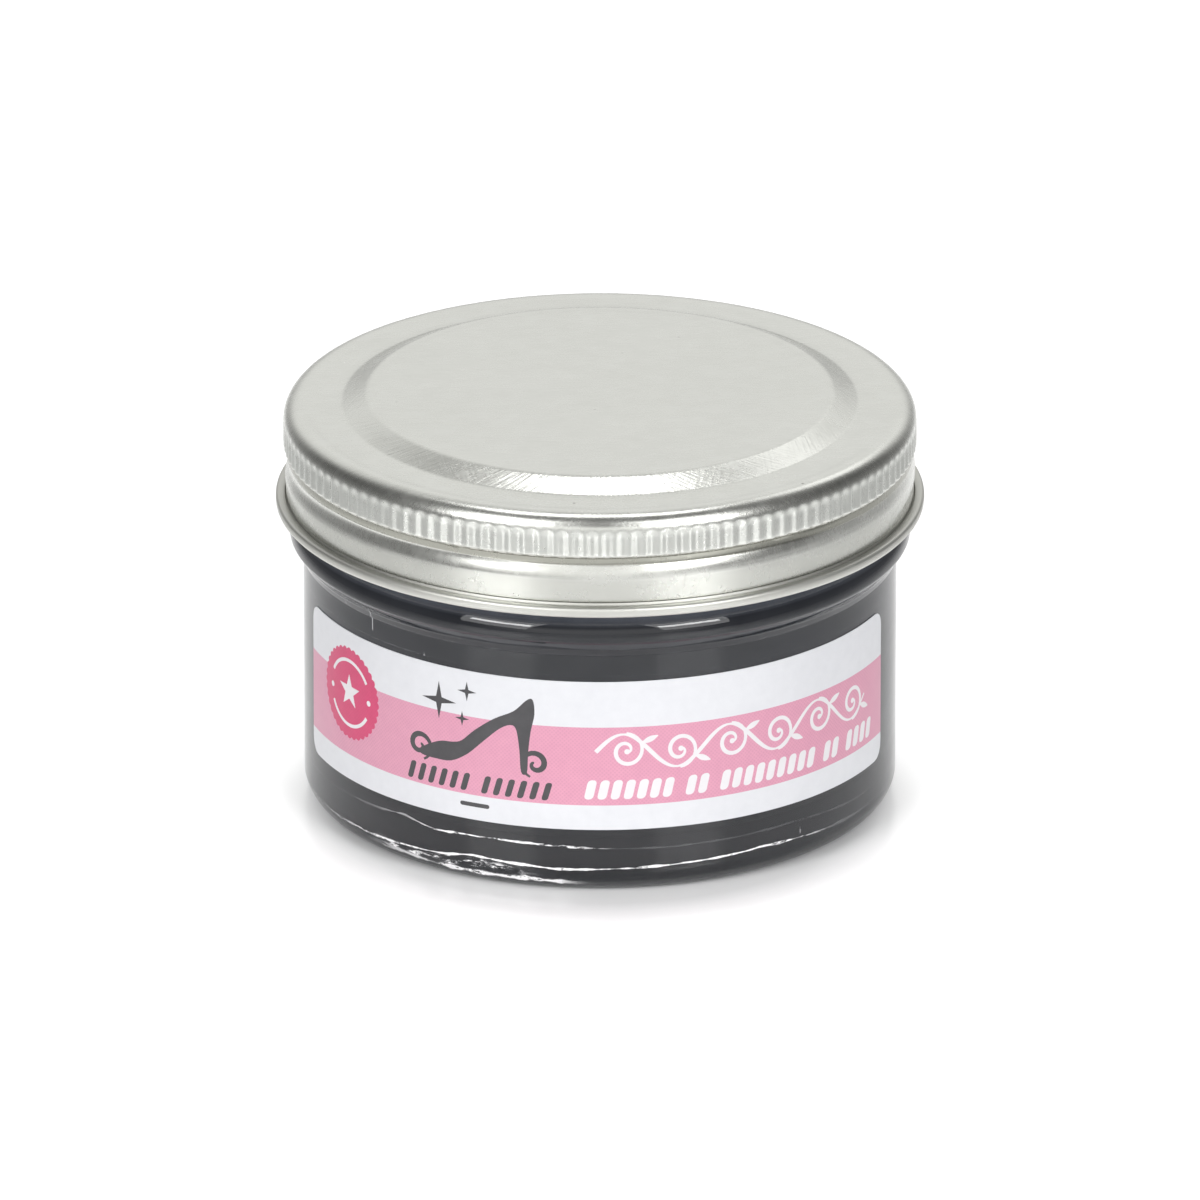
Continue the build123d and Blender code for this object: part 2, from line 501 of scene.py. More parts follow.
def clear_glass():
    """Moulded glass with faint ripples and painted glints, pale lines standing in for light caught in
    it. Below the neck it stands darkened by the cream's film on its inner wall."""
    n = Nodes("clear_glass")
    place = n.place()
    around, _, up, _ = n.wall(BODY * MM)
    ripple = n.noise(n.stretch(around, (35, 90, 20)), 3.0, 2.0, 0.4)
    normal = n.bump(ripple, 0.15 * MM, 0.3)
    tint = n.ramp(n.noise(place, 60.0, 1.0), (0.3, (0.955, 0.965, 0.965)), (0.7, (0.975, 0.98, 0.98)))
    film = n.ramp(ripple, (0.3, (0.048, 0.050, 0.053)), (0.7, (0.060, 0.062, 0.066)))
    tint = n.mix(n.fall(up, *FILM_EDGE), tint, film)
    glints = painted_glints(n)
    # Painted glints: the glass is pale, opaque and rougher along these lines.
    tint = n.mix(glints, tint, (0.97, 0.96, 0.97))
    rough = n.math("ADD", n.remap(ripple, 0.3, 0.7, 0.006, 0.014), n.both(glints, 0.3))
    clear = n.math("SUBTRACT", 1.0, glints)
    n.set(Base_Color=tint, Roughness=rough, Normal=normal, IOR=1.5, Transmission_Weight=clear)
    return n.material


def cream_wall():
    """The cream against the glass: nearly black, with faint cloudy patches. Its tone is a weak
    emission, since light that reaches it through the glass is too noisy to gather."""
    n = Nodes("cream_wall")
    place = n.place()
    around, _, up, _ = n.wall(0.025)
    cloud = n.noise(n.stretch(around, (60, 160, 30)), 3.0, 4.0, 0.6)
    spots = n.noise(place, 180.0, 2.0, 0.5)
    tone = n.mix(0.25, cloud, spots)
    glow = n.ramp(tone, (0.32, (0.060, 0.065, 0.080)), (0.72, (0.112, 0.118, 0.137)))
    # The glow stands for light seen through the film, so it is weaker where there is no film.
    # It is also a little weaker towards the base.
    low, high = (edge * MM for edge in FILM_EDGE)
    fading = n.remap(up, low, high, 1.0, 0.2)
    strength = n.both(fading, n.remap(up, 4.0 * MM, 10.0 * MM, 0.70, 1.0))
    glow = n.mix(strength, (0.0, 0.0, 0.0), glow)
    colour = n.ramp(tone, (0.32, 0.002), (0.72, 0.004))
    rough = n.remap(spots, 0.3, 0.7, 0.55, 0.75)
    n.set(Base_Color=colour, Roughness=rough, Specular_IOR_Level=0.0)
    n.set(Emission_Color=glow, Emission_Strength=1.0)
    return n.material


def cream_surface():
    """The cream's open surface: glossy black wax with a poured swirl and tiny pits."""
    n = Nodes("cream_surface")
    place = n.place()
    swirl = n.noise(place, 90.0, 4.0, 0.5)
    pit = n.ramp(n.cells(place, 600.0), (0.06, 0.0), (0.16, 1.0))
    colour = n.ramp(swirl, (0.3, (0.010, 0.010, 0.011)), (0.7, (0.024, 0.024, 0.026)))
    rough = n.remap(swirl, 0.3, 0.7, 0.16, 0.34)
    normal = n.bump(swirl, 0.6 * MM, 0.4)
    normal = n.bump(pit, 0.05 * MM, 0.5, normal)
    n.set(Base_Color=colour, Roughness=rough, Normal=normal)
    return n.material


def ink(name, light, dark, raster=0.0):
    """Print on satin film: two close tones, a faint dot screen and slight unevenness."""
    n = Nodes(name)
    around = n.wall(BODY * MM)[0]
    fibre = n.noise(around, 900.0, 3.0, 0.6)
    wide = n.noise(around, 120.0, 2.0, 0.5)
    colour = n.ramp(n.mix(0.4, fibre, wide), (0.3, dark), (0.7, light))
    if raster:
        screen = n.cells(
            n.turned(around, math.radians(45)), 3600.0, randomness=0.12, voronoi_dimensions="2D"
        )
        dots = n.ramp(screen, (0.22, 1.0), (0.42, 0.0))
        colour = n.mix(n.both(dots, raster), colour, tuple(0.72 * c for c in dark))
    rough = n.remap(wide, 0.3, 0.7, 0.32, 0.41)
    n.set(Base_Color=colour, Roughness=rough, Normal=n.bump(fibre, 0.006 * MM, 0.35))
    return n.material


def foam():
    """White closed-cell foam with a paler, smoother skin."""
    n = Nodes("liner_foam")
    place = n.place()
    bubbles = n.cells(place, 1500.0)
    wide = n.noise(place, 150.0, 3.0, 0.5)
    colour = n.ramp(n.mix(0.5, bubbles, wide), (0.2, (0.74, 0.73, 0.69)), (0.7, (0.86, 0.85, 0.81)))
    rough = n.remap(wide, 0.3, 0.7, 0.5, 0.68)
    normal = n.bump(bubbles, 0.04 * MM, 0.5)
    n.set(Base_Color=colour, Roughness=rough, Normal=normal)
    return n.material


# ------------------------------------------------------------------------- lid
def thread_bump(angle, up, top, start, end, widths, fade):
    """How far a point of the wall stands on a helical thread, from 0 to 1.
    The widths are the reach of its lower and its upper flank."""
    best = 0.0
    for turns in (-1, 0):
        along = angle + TURN * turns
        if not start - fade < along < end + fade:
            continue
        height = top - PITCH * (end - along) / TURN
        across = abs(up - height) / widths[up > height]
        if across < 1:
            ends = smoothstep(start - fade, start + fade, along)
            ends *= 1 - smoothstep(end - fade, end + fade, along)
            best = max(best, ends * (0.5 + 0.5 * math.cos(math.pi * across)))
    return best


def lid_relief(angle, point):
    """The flutes, the pressed thread and the sheet's slight dents."""
    up = point.y
    x, y = math.cos(angle), math.sin(angle)
    slow = noise.noise(Vector((2.2 * x, 2.2 * y, up * 0.25)))
    quick = noise.noise(Vector((11 * x, 11 * y, up * 0.6 + 7)))
    if point.x < PANEL_EDGE and up > KNURL_HIGH:
        dent = noise.noise(Vector((point.x * x * 0.09, point.x * y * 0.09, 3.0)))
        return Vector((0, 0.018 * dent - 0.016))
    out = 0.02 * slow
    if up > KNURL_LOW - 0.3:
        band = smoothstep(KNURL_LOW - 0.3, KNURL_LOW - 0.05, up)
        band *= 1 - smoothstep(KNURL_HIGH - 0.75, KNURL_HIGH + 0.15, up)
        depth = FLUTE_DEPTH * (1 + 0.35 * noise.noise(Vector((5 * x, 5 * y, 1.0))) + 0.15 * quick)
        out -= depth * band * (0.5 - 0.5 * math.cos(FLUTES * angle))
    if up < KNURL_HIGH:
        press = thread_bump(
            angle,
            up,
            LID_THREAD_TOP,
            LID_THREAD_FROM,
            LID_THREAD_TO,
            LID_THREAD_WIDTHS,
            LID_THREAD_FADE,
        )
        press *= 1 - smoothstep(KNURL_LOW - 0.25, KNURL_LOW + 0.1, up)
        press *= smoothstep(30.0, 31.2, up)
        # In front the groove runs into the step under the flutes and is hardly seen.
        round_it = (angle + math.pi) % TURN - math.pi
        press *= 1 - 0.68 * smoothstep(math.radians(-110), math.radians(-55), round_it)
        out -= LID_THREAD_DEPTH * press
        if 29.9 < up < 34.3:
            out += 0.012 * quick * smoothstep(29.9, 31, up)
    return Vector((out, 0))


def lid_mesh():
    """Both faces of the lid's sheet, from the panel's middle to the end of the curl."""
    half = SHEET / 2
    line = rounded(
        [
            (0, LID_TOP - half),
            (PLATEAU, LID_TOP - half, 1.1),
            (BEVEL, PANEL - half, 1.0),
            (KNURL - half, PANEL - half, SHOULDER - half),
            (KNURL - half, KNURL_LOW - 0.05, 0.18),
            (STEP[0] - half, STEP[1], 0.12),
            (GROOVE[0] - half, GROOVE[1], 0.15),
            (BULGE[0] - half, BULGE[1], 5.0),
            (FOOT[0] - half, FOOT[1], 0.1),
            (GUTTER_TOP[0] - half, GUTTER_TOP[1], 0.04),
            (GUTTER_LOW[0] - half, GUTTER_LOW[1], 0.1),
            (CURL_ACROSS - CURL, 29.5, 0.08),
            (CURL_ACROSS - CURL, CURL_UP),
        ],
        0.14,
    )
    # The curl rolls down, outwards, up and in again over the top.
    for degrees in range(16, 320, 16):
        across, up = -math.cos(math.radians(degrees)), -math.sin(math.radians(degrees))
        across = CURL * math.copysign(abs(across) ** CURL_ROUNDNESS, across)
        up = CURL_TALL * math.copysign(abs(up) ** CURL_ROUNDNESS, up)
        line.append(Vector((CURL_ACROSS + across, CURL_UP + up)))

    def spacing(point):
        if point.y > PANEL - 0.1 and point.x < PANEL_EDGE + 0.5:
            return 1.4
        return 0.26 if point.y > KNURL_LOW - 1.2 else 0.2

    def count(point):
        if point.x < 9:
            return 2 * FLUTES // 3
        return 6 * FLUTES if point.y > KNURL_LOW - 0.35 and point.x > 28.9 else 2 * FLUTES

    dense = subdivided(line, spacing)
    outer, inner = [], []
    for point, normal in zip(dense, normals(dense)):
        for side, rows in ((half, outer), (-half, inner)):
            moved = point + normal * side
            if point.x < 1e-6:
                moved.x = 0.0
            rows.append(ring(moved, count(point), lid_relief, point))
    return skin(outer + inner[::-1])


# ------------------------------------------------------------------ glass jar
def jar_relief(angle, point):
    """The neck's thread, two mould seams and the slight unevenness of moulded glass."""
    x, y = math.cos(angle), math.sin(angle)
    out = -0.012 - 0.010 * noise.noise(Vector((2.5 * x, 2.5 * y, point.y * 0.12)))
    if point.x > NECK - 0.2 and point.y > 30:
        out += JAR_THREAD_HEIGHT * thread_bump(
            angle,
            point.y,
            JAR_THREAD_TOP,
            JAR_THREAD_FROM,
            JAR_THREAD_TO,
            JAR_THREAD_WIDTHS,
            JAR_THREAD_FADE,
        )
    if point.x > BORE + 1.5 and point.y < 35:
        seam = abs(math.sin(angle - SEAM)) * point.x
        ridge = max(0.0, 1 - seam / 0.35)
        out += (0.05 if point.y > 29 else 0.012) * ridge * ridge
    return Vector((out, 0))


def push_up_relief(angle, point):
    """Concentric steps and radial ticks pressed into the raised centre of the base."""
    ticks = 0.0
    if 16.5 < point.x < 18.6:
        ticks = 0.05 * max(0.0, math.cos(72 * angle)) * smoothstep(16.5, 16.9, point.x)
    steps = 0.05 * smoothstep(-0.2, 0.2, math.sin(point.x * 0.9))
    return Vector((0, steps - ticks))


def jar_mesh():
    """The glass from the cavity's floor over the mouth to the middle of the base."""
    line = rounded(
        [
            (0, FLOOR),
            (CAVITY, FLOOR, CAVITY_ROUND),
            (CAVITY, CAVITY_HIGH, 1.0),
            (BORE, BORE_LOW, 1.0),
            (BORE, MOUTH, 0.8),
            (NECK, MOUTH, 0.8),
            (NECK, 28.6, 0.15),
            (BEAD, 27.65, 2.2),
            (BEAD, 25.95, 0.6),
            (BODY + 0.35, 24.75, 0.8),
            (BODY + 0.16, 24.15, 0.1),
            (BODY, 24.05, 0.1),
            (BODY, 0, HEEL),
            (BASE_RING, 0, 0.6),
            (BASE_RING - 2 * PUSH_UP, PUSH_UP, 1.0),
            (0, PUSH_UP),
        ],
        0.12,
    )

    def spacing(point):
        return 0.3 if point.x > NECK - 0.1 and point.y > 28.9 else 0.8

    rings = []
    for point in subdivided(line, spacing):
        relief = jar_relief if point.x > NECK - 2.4 and point.y > HEEL + 0.1 else None
        if point.y < PUSH_UP + 0.05 and point.x < BASE_RING - 2.5:
            relief = push_up_relief
        rings.append(ring(point, 60 if point.x < 6 else 240, relief))
    return skin(rings)


def cream_mesh():
    """The cream fills the cavity, grips the glass and climbs it a little at its open surface."""
    grip = 0.03
    rim = (BORE + grip, 30.4)
    top = rounded([(0, 29.75), (22.6, 29.72, 3.0), (BORE - 0.5, 29.95, 0.8), rim], 0.2)
    side = rounded(
        [
            rim,
            (BORE + grip, BORE_LOW, 1.0),
            (CAVITY + grip, CAVITY_HIGH, 1.0),
            (CAVITY + grip, FLOOR - grip, CAVITY_ROUND),
            (0, FLOOR - grip),
        ],
        0.15,
    )

    def swirl(angle, point):
        turn = math.sin(angle * 2 + point.x * 0.42)
        fade = smoothstep(1.5, 6.0, point.x) * (1 - smoothstep(19.0, 23.5, point.x))
        x, y = point.x * math.cos(angle), point.x * math.sin(angle)
        rough = noise.noise(Vector((x * 0.18, y * 0.18, 5.0)))
        return Vector((0, 0.16 * turn * fade + 0.12 * rough * (1 - smoothstep(22.0, 24.4, point.x))))

    rings = [ring(p, 60 if p.x < 5 else 180, swirl) for p in subdivided(top, 0.7)]
    surface = sum(len(r) for r in rings)
    rings += [ring(p, 180 if p.x > 5 else 60) for p in subdivided(side, 1.2)[1:]]
    points, faces = skin(rings)
    slots = [1 if max(face) < surface else 0 for face in faces]
    return points, faces, slots


def liner_mesh():
    """A foam disc, with the ring that the jar's mouth has pressed into its underside."""
    low, high = liner_low.z, liner_high.z
    edge = liner_high.x
    line = rounded(
        [
            (0, high),
            (edge, high, 0.15),
            (edge, low, 0.15),
            (NECK - 0.1, low, 0.1),
            (NECK - 0.4, low + 0.16, 0.15),
            (BORE + 0.5, low + 0.16, 0.15),
            (BORE + 0.2, low, 0.1),
            (0, low),
        ],
        0.4,
    )

    def relief(angle, point):
        x, y = point.x * math.cos(angle), point.x * math.sin(angle)
        inside = 1 - smoothstep(edge - 1.2, edge - 0.4, point.x)
        bumps = 0.025 * noise.noise(Vector((x * 0.5, y * 0.5, point.y)))
        return Vector((0, (abs(bumps) if point.y < high - 0.5 else -abs(bumps)) * inside))

    return skin([ring(p, 48 if p.x < 5 else 144, relief) for p in subdivided(line, 1.1)])


# --------------------------------------------------------------------- labels
def closed_spline(points, steps):
    """A smooth closed outline through points."""
    outline = []
    for i, b in enumerate(points):
        a, c, d = points[i - 1], points[(i + 1) % len(points)], points[(i + 2) % len(points)]
        for t in (step / steps for step in range(steps)):
            square = (2 * a - 5 * b + 4 * c - d) * t * t
            cube = (3 * b - a - 3 * c + d) * t**3
            outline.append(0.5 * (2 * b + (c - a) * t + square + cube))
    return outline


def stroke(line, thickness):
    """A brush stroke's outline along a line, with a thickness that is a number or a function of
    the place from 0 to 1 along it."""
    sides = normals(line)
    left, right = [], []
    for i, (point, side) in enumerate(zip(line, sides)):
        wide = thickness(i / (len(line) - 1)) if callable(thickness) else thickness
        left.append(point + side * wide / 2)
        right.append(point - side * wide / 2)
    return left + right[::-1]


def polar(x, y, reach, angle):
    """A point at a distance and an angle from x, y."""
    return Vector((x + reach * math.cos(angle), y + reach * math.sin(angle)))


def disc(x, y, radius, count):
    return [polar(x, y, radius, TURN * i / count) for i in range(count)]


def scalloped(x, y, radius, depth, count):
    """A disc whose edge has round bulges."""
    points = []
    for i in range(count * 6):
        angle = TURN * i / (count * 6)
        reach = radius - depth * (1 - abs(math.cos(count * angle / 2)))
        points.append(polar(x, y, reach, angle))
    return points


def star(x, y, outer, inner, count):
    points = []
    for i in range(2 * count):
        points.append(polar(x, y, inner if i % 2 else outer, math.radians(90) + math.pi * i / count))
    return points


def bar(x, y, length, height, corner, slant=0.0):
    """A bar with rounded corners, centred on x, y. The slant leans it to the right."""
    points = []
    for quarter, (across, up) in enumerate(((1, 1), (-1, 1), (-1, -1), (1, -1))):
        cx, cy = across * (length / 2 - corner), up * (height / 2 - corner)
        for i in range(5):
            angle = math.radians(90 * quarter + 22.5 * i)
            px, py = cx + corner * math.cos(angle), cy + corner * math.sin(angle)
            points.append(Vector((x + px + slant * py, y + py)))
    return points


# A court shoe's outline, in its own units
PUMP = [
    (0.0, 0.42), (0.35, 0.06), (1.6, 0.0), (3.0, 0.12), (4.4, 0.95), (5.8, 2.3),
    (7.1, 3.5), (8.0, 3.9), (8.42, 3.5), (8.66, 1.9), (8.8, 0.04), (9.26, 0.04),
    (9.36, 1.7), (9.56, 3.5), (9.86, 5.0), (9.72, 6.2), (9.2, 6.1), (8.2, 5.1),
    (6.6, 4.25), (5.0, 3.05), (3.9, 2.0), (3.1, 1.72), (2.1, 1.6), (1.0, 1.12),
]


def vine(left, right, middle, height, waves):
    """A scrolling stem with a curled tendril and a leaf at every wave."""
    span = (right - left) / waves

    def stem_width(t):
        return 0.20 + 0.22 * abs(math.cos(math.pi * waves * t)) * (1 - t**6)

    stem = []
    for i in range(121):
        sway = 0.42 * height * math.sin(math.pi * waves * i / 120)
        stem.append(Vector((left + (right - left) * i / 120, middle + sway)))
    shapes = [stroke(stem, stem_width)]
    for wave in range(waves):
        up = 1 if wave % 2 == 0 else -1
        x = left + (wave + 0.5) * span
        centre = Vector((x + 0.06 * span, middle + up * 0.02 * height))
        curl = []
        for i in range(41):
            t = i / 40
            angle = math.radians(90) * up - up * t * math.radians(500)
            reach = 0.40 * height * (1 - t) ** 0.75 + 0.10
            curl.append(centre + Vector((reach * math.cos(angle) * 0.95, reach * math.sin(angle))))
        shapes.append(stroke(curl, lambda t: 0.24 + 0.20 * math.sin(math.pi * t) - 0.08 * t))
        shapes.append(disc(curl[-1].x, curl[-1].y, 0.27, 12))
        root = Vector((x + 0.34 * span, middle + up * 0.20 * height))
        tip = root + Vector((0.30 * span, up * 0.16 * height))
        leaf = [root.lerp(tip, i / 8) for i in range(9)]
        shapes.append(stroke(leaf, lambda t: 0.08 + 0.50 * math.sin(math.pi * t)))
    return shapes


def rope(runs, left, right, middle, height, thickness, slant):
    """Runs of slanted stitches, one run for each number, with a gap after each."""
    step = (right - left) / (sum(runs) + 0.8 * (len(runs) - 1))
    wide = thickness * step
    shapes, x = [], left
    for run in runs:
        for _ in range(run):
            shapes.append(bar(x + step / 2, middle, wide, height, 0.42 * wide, slant))
            x += step
        x += 0.8 * step
    return shapes


def front_art():
    """The front label's print: (material slot, outline) pairs, later ones over earlier ones.
    Millimetres round the wall from the front, and up from the base."""
    art = [(PINK, bar(0, 13.0, 90.0, 7.85, 0.01))]
    # A round badge: a star between two arcs and two dots
    x, y = -27.9, 15.3
    art.append((MAGENTA, scalloped(x, y, 4.6, 0.22, 36)))
    art.append((WHITE, star(x, y + 0.15, 1.75, 0.72, 5)))
    for side in (-1, 1):
        arc = []
        for degrees in range(-62, 63, 6):
            angle = math.radians(degrees)
            arc.append(Vector((x + 3.25 * math.sin(angle), y + side * 3.25 * math.cos(angle))))
        art.append((WHITE, stroke(arc, 0.34)))
    for side in (-1, 1):
        art.append((WHITE, disc(x + side * 3.1, y - 0.1, 0.28, 14)))

    # A shoe with stars over it and a curl on both sides
    shoe = [Vector((1.22 * px - 18.2, 1.2 * py + 12.0)) for px, py in PUMP]
    art.append((DARK, closed_spline(shoe, 4)))
    art.append((DARK, star(-15.9, 18.0, 1.9, 0.44, 4)))
    art.append((DARK, star(-12.9, 19.4, 1.0, 0.26, 4)))
    art.append((DARK, star(-13.4, 16.6, 0.75, 0.21, 4)))
    for side in (-1, 1):
        curl = []
        for i in range(31):
            t = i / 30
            angle = math.radians(250) - t * math.radians(470)
            reach = 1.3 * (1 - t) ** 0.8 + 0.14
            across = side * (6.0 + reach * math.cos(angle))
            curl.append(Vector((-12.1 + across, 13.0 + reach * math.sin(angle))))
        art.append((DARK, stroke(curl, lambda t: 0.22 + 0.34 * math.sin(math.pi * t))))
    art += [(DARK, shape) for shape in rope((6, 6), -19.6, -4.4, 10.3, 1.8, 0.52, 0.28)]
    art.append((DARK, bar(-12.1, 8.1, 3.0, 0.42, 0.2)))

    # A scrolling stem over a row of stitches
    stitches = rope((7, 2, 9, 2, 4), -1.5, 31.9, 10.65, 1.95, 0.70, 0.22)
    art += [(WHITE, shape) for shape in vine(-0.4, 30.4, 14.45, 4.2, 6)]
    art += [(WHITE, shape) for shape in stitches]
    return art


def rear_art():
    """The rear label's print: a pink header, plain grey rules and a block of bare stripes."""
    middle = math.radians(180) * LABEL_MIDDLE
    art = [(PINK, bar(middle, 19.6, 60.0, 3.4, 0.01))]
    draw = random.Random(11)
    for row in range(9):
        x = middle - 21.5
        end = x + (27.0 if row % 4 != 3 else 17.0)
        y = 16.6 - row * 1.05
        while x < end - 1.2:
            length = min(draw.uniform(1.0, 4.2), end - x)
            art.append((DARK, bar(x + length / 2, y, length, 0.34, 0.16)))
            x += length + 0.55
    x = middle + 9.5
    while x < middle + 21.0:
        wide = draw.choice((0.22, 0.22, 0.4, 0.6))
        art.append((DARK, bar(x + wide / 2, 12.9, wide, 7.2, 0.05)))
        x += wide + draw.choice((0.25, 0.25, 0.45))
    return art


def extent(shape):
    """Left, right, lowest and highest edge."""
    across, up = [p.x for p in shape], [p.y for p in shape]
    return min(across), max(across), min(up), max(up)


def inside(point, shape, box):
    """Whether an outline winds round a point."""
    if not (box[0] < point.x < box[1] and box[2] < point.y < box[3]):
        return False
    winding = 0
    for a, b in zip(shape, shape[1:] + shape[:1]):
        if (a.y > point.y) != (b.y > point.y):
            if a.x + (point.y - a.y) * (b.x - a.x) / (b.y - a.y) > point.x:
                winding += 1 if b.y > a.y else -1
    return winding != 0


def wrapped(point, radius):
    """A point of the flat label, wrapped on the jar's wall."""
    angle = FRONT + point.x / LABEL_MIDDLE
    return (radius * math.cos(angle), radius * math.sin(angle), point.y)


def label_mesh(start, end, art):
    """A printed film wrapped on the jar's wall, with its print in the same sheet."""
    left, right = math.radians(start) * LABEL_MIDDLE, math.radians(end) * LABEL_MIDDLE
    low, high = label_low.z, label_high.z
    outline = bar((left + right) / 2, (low + high) / 2, right - left, high - low, LABEL_CORNER)
    corners, edges = list(outline), []
    for _, shape in art:
        first, count = len(corners), len(shape)
        corners += shape
        edges += [(first + i, first + (i + 1) % count) for i in range(count)]
    # Upright cuts across the sheet let it bend smoothly. They end short of the round corners.
    x, cells = left + 0.6, 9
    while x < right - 0.3:
        gap = max(0.0, LABEL_CORNER - min(x - left, right - x))
        inset = LABEL_CORNER - math.sqrt(LABEL_CORNER**2 - gap**2)
        first = len(corners)
        for i in range(cells + 1):
            corners.append(Vector((x, low + inset + (high - low - 2 * inset) * i / cells)))
        edges += [(first + i, first + i + 1) for i in range(cells)]
        x += 0.95
    flat, _, triangles, _, _, owners = delaunay_2d_cdt(
        corners, edges, [list(range(len(outline)))], 1, 1e-5, True
    )
    kept = [list(triangle) for triangle, owner in zip(triangles, owners) if owner]

    boxes = [extent(shape) for _, shape in art]
    slots = []
    for triangle in kept:
        middle = sum((flat[i] for i in triangle), Vector((0, 0))) / 3
        slots.append(PAPER)
        for (slot, shape), box in zip(art, boxes):
            if inside(middle, shape, box):
                slots[-1] = slot

    front = []
    for point in flat:
        sag = 0.5 + 0.5 * noise.noise(Vector((point.x * 0.22, point.y * 0.22, 9.0)))
        front.append(wrapped(point, LABEL_FACE - 0.025 * sag))
    points = front + [wrapped(point, BODY + 0.01) for point in flat]
    total = len(flat)
    sides = [(a, b) for t in kept for a, b in zip(t, t[1:] + t[:1])]
    shared = set(sides)
    rim = [(a, b) for a, b in sides if (b, a) not in shared]
    faces = kept + [[total + i for i in reversed(t)] for t in kept]
    faces += [[b, a, total + a, total + b] for a, b in rim]
    slots += [PAPER] * (len(kept) + len(rim))
    used = sorted({i for face in faces for i in face})
    number = {old: new for new, old in enumerate(used)}
    return [points[i] for i in used], [[number[i] for i in face] for face in faces], slots


# ------------------------------------------------------------------ lighting
def world():
    """Light from the horizon in front and from low behind, with a dark gap over the top between
    them and dim sides."""
    shade = bpy.data.worlds.new("studio")
    shade.use_nodes = True
    bpy.context.scene.world = shade
    tree = shade.node_tree
    background = tree.nodes["Background"]

    def node(kind, **settings):
        made = tree.nodes.new(kind)
        for key, value in settings.items():
            setattr(made, key, value)
        return made

    def calculate(operation, *values):
        made = node("ShaderNodeMath", operation=operation)
        for i, value in enumerate(values):
            if isinstance(value, bpy.types.NodeSocket):
                tree.links.new(value, made.inputs[i])
            else:
                made.inputs[i].default_value = value
        return made.outputs[0]

    def ramp(value, stops):
        made = node("ShaderNodeValToRGB")
        made.color_ramp.interpolation = "EASE"
        elements = made.color_ramp.elements
        while len(elements) < len(stops):
            elements.new(0.5)
        for element, (position, grey) in zip(elements, stops):
            element.position = position
            element.color = (grey, grey, grey * 0.985, 1)
        tree.links.new(value, made.inputs[0])
        return made.outputs[0]

    direction = node("ShaderNodeTexCoord").outputs["Generated"]
    split = node("ShaderNodeSeparateXYZ")
    tree.links.new(direction, split.inputs[0])
    x, y, z = split.outputs
    # 0 at the front horizon, 0.5 straight up, 1 at the horizon behind
    arc = calculate("DIVIDE", calculate("ARCTAN2", z, calculate("MULTIPLY", y, -1.0)), math.pi)
    middle = ramp(
        arc,
        (
            (0.0, 1.05),
            (0.08, 1.15),
            (0.18, 0.20),
            (0.38, 0.18),
            (0.55, 0.20),
            (0.63, 0.42),
            (0.80, 0.90),
            (0.88, 1.02),
            (0.94, 0.66),
            (1.0, 0.45),
        ),
    )
    sides = ramp(z, ((0.0, 0.22), (0.18, 0.16), (0.45, 0.10), (0.8, 0.14), (1.0, 0.25)))
    aside = ramp(calculate("ABSOLUTE", x), ((0.35, 0.0), (0.80, 1.0)))
    blend = node("ShaderNodeMix", data_type="RGBA")
    for socket, value in zip([s for s in blend.inputs if s.enabled], (aside, middle, sides)):
        tree.links.new(value, socket)
    tree.links.new([s for s in blend.outputs if s.enabled][0], background.inputs["Color"])
    background.inputs["Strength"].default_value = 1.0


def softbox(name, towards, size, radiance):
    """A rectangular light facing the jar from a place in metres."""
    data = bpy.data.lights.new(name, "AREA")
    data.shape = "RECTANGLE"
    data.size, data.size_y = size
    data.energy = radiance * math.pi * size[0] * size[1]
    lamp = bpy.data.objects.new(name, data)
    bpy.context.scene.collection.objects.link(lamp)
    lamp.location = towards
    lamp.rotation_euler = Vector(towards).to_track_quat("Z", "Y").to_euler()


def aimed(azimuth, elevation, distance):
    """A place seen from the jar at these angles. Azimuth is from the front, towards +X."""
    azimuth, elevation = math.radians(azimuth), math.radians(elevation)
    level, up = distance * math.cos(elevation), distance * math.sin(elevation)
    return Vector((level * math.sin(azimuth), -level * math.cos(azimuth), up))


def floor():
    """A white sheet under the jar, with a painted pool of light where the jar stands and a painted
    shadow round its foot.
    """
    n = Nodes("paper_floor")
    place = n.place()
    grain = n.noise(place, 300.0, 3.0, 0.6)
    wide = n.noise(place, 4.0, 2.0, 0.5)
    colour = n.ramp(n.mix(0.5, grain, wide), (0.3, (0.955, 0.955, 0.96)), (0.7, (0.98, 0.98, 0.985)))
    rough = n.remap(grain, 0.3, 0.7, 0.17, 0.21)
    # Painted light: the sheet's colour and glow fall off to both sides of the sheet and towards its
    # front.
    parts = n.add("ShaderNodeSeparateXYZ", {"Vector": place})
    aside = n.math("ABSOLUTE", parts.outputs["X"])
    light = n.ramp(n.rise(aside, 62, 240), (0.0, 1.0), (0.35, 0.52), (1.0, 0.30))
    near = n.ramp(n.rise(parts.outputs["Y"], -150, -90), (0.0, 0.50), (1.0, 1.0))
    light = n.mix(1.0, light, near, "MULTIPLY")
    colour = n.mix(1.0, colour, light, "MULTIPLY")
    # A glow painted into the sheet adds painted light. It is weakest round the jar's foot, as a painted
    # shadow there.
    forward = n.math("ADD", parts.outputs["Y"], 5 * MM)
    away = n.math("SQRT", n.math("ADD", n.both(aside, aside), n.both(forward, forward)))
    glow = n.ramp(n.rise(away, 25, 56), (0.0, 0.05), (0.19, 0.38), (0.5, 0.36), (1.0, 0.31))
    n.set(Base_Color=colour, Roughness=rough, Emission_Color=light, Emission_Strength=glow)
    side, gap = 4000.0, -0.02
    points = [(-side, -side, gap), (side, -side, gap), (side, side, gap), (-side, side, gap)]
    piece = mesh_object("paper_floor", points, [[0, 1, 2, 3]], [n.material])


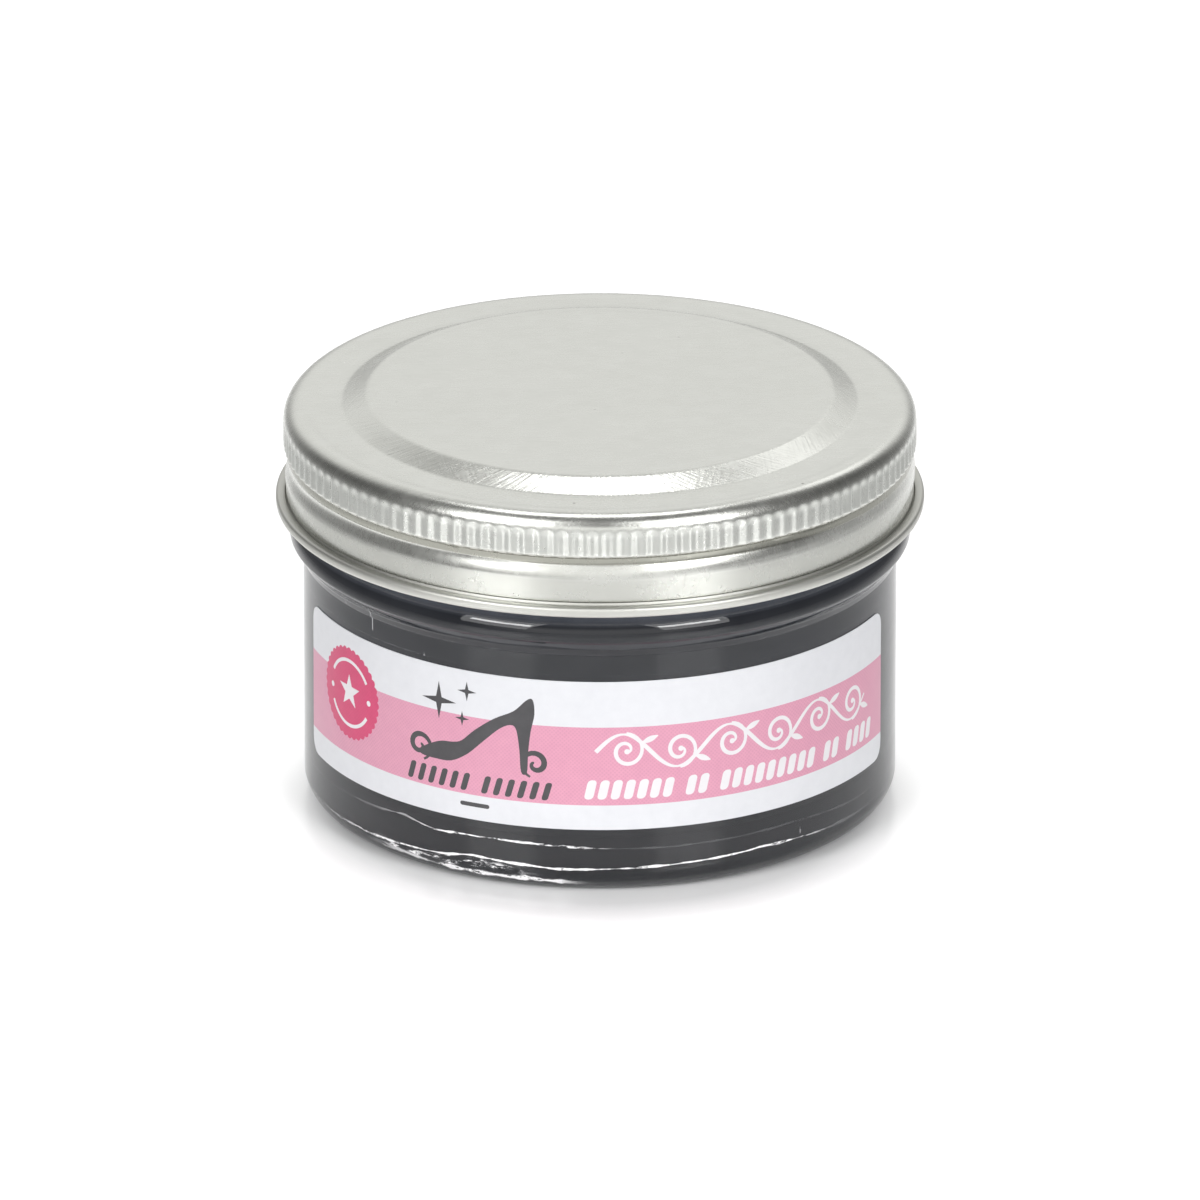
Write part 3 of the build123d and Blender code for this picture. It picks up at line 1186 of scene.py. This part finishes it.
def camera():
    """A long lens that looks down on the jar from the front."""
    elevation = math.radians(21.7)
    distance = 2.5
    aim = Vector((0, 0, 18.6 * MM))
    data = bpy.data.cameras.new("camera")
    data.sensor_width = 36.0
    data.lens = 794.3
    eye = bpy.data.objects.new("camera", data)
    bpy.context.scene.collection.objects.link(eye)
    towards = Vector((0, -math.cos(elevation), math.sin(elevation)))
    eye.location = aim + towards * distance
    eye.rotation_euler = towards.to_track_quat("Z", "Y").to_euler()
    bpy.context.scene.camera = eye


# ------------------------------------------------------------------- assembly
lid = mesh_object("tinplate_lid", *lid_mesh(), [tinplate()])
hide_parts("lid_shell")
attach(lid, "lid")

jar = mesh_object("moulded_jar", *jar_mesh(), [clear_glass()])
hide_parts("glass_jar")
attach(jar, "jar")

points, faces, slots = cream_mesh()
cream = mesh_object("cream_fill", points, faces, [cream_wall(), cream_surface()], slots)
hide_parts("shoe_cream")
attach(cream, "jar")

liner = mesh_object("foam_liner", *liner_mesh(), [foam()])
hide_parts("lid_liner")
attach(liner, "liner")

inks = [
    ink("label_film", (0.665, 0.672, 0.70), (0.62, 0.627, 0.655)),
    ink("pink_print", (0.65, 0.30, 0.405), (0.60, 0.27, 0.375), raster=0.30),
    ink("magenta_print", (0.60, 0.05, 0.155), (0.53, 0.04, 0.13), raster=0.12),
    ink("dark_print", (0.060, 0.058, 0.062), (0.040, 0.039, 0.043)),
    ink("white_print", (0.72, 0.70, 0.72), (0.67, 0.65, 0.67)),
]
for name, node, ends, art in (
    ("printed_front_label", "front_label", FRONT_LABEL, front_art()),
    ("printed_rear_label", "rear_label", REAR_LABEL, rear_art()),
):
    points, faces, slots = label_mesh(*ends, art)
    label = mesh_object(name, points, faces, inks, slots)
    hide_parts(node)
    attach(label, "jar")

world()
softbox("softbox_left", aimed(-39, 34, 1.2), (0.54, 1.0), 2.8)
softbox("softbox_left_core", aimed(-38, 29, 1.15), (0.42, 0.14), 14.0)
softbox("softbox_right", aimed(35, 34, 1.2), (0.54, 1.0), 2.8)
softbox("softbox_right_core", aimed(34, 29, 1.15), (0.42, 0.14), 14.0)
softbox("softbox_behind", (0.377, 0.552, 0.743), (0.34, 0.34), 0.8)
softbox("softbox_above", (-0.03, 0.175, 0.85), (0.48, 0.20), 4.2)
floor()
camera()
bpy.context.scene.view_settings.view_transform = "Standard"
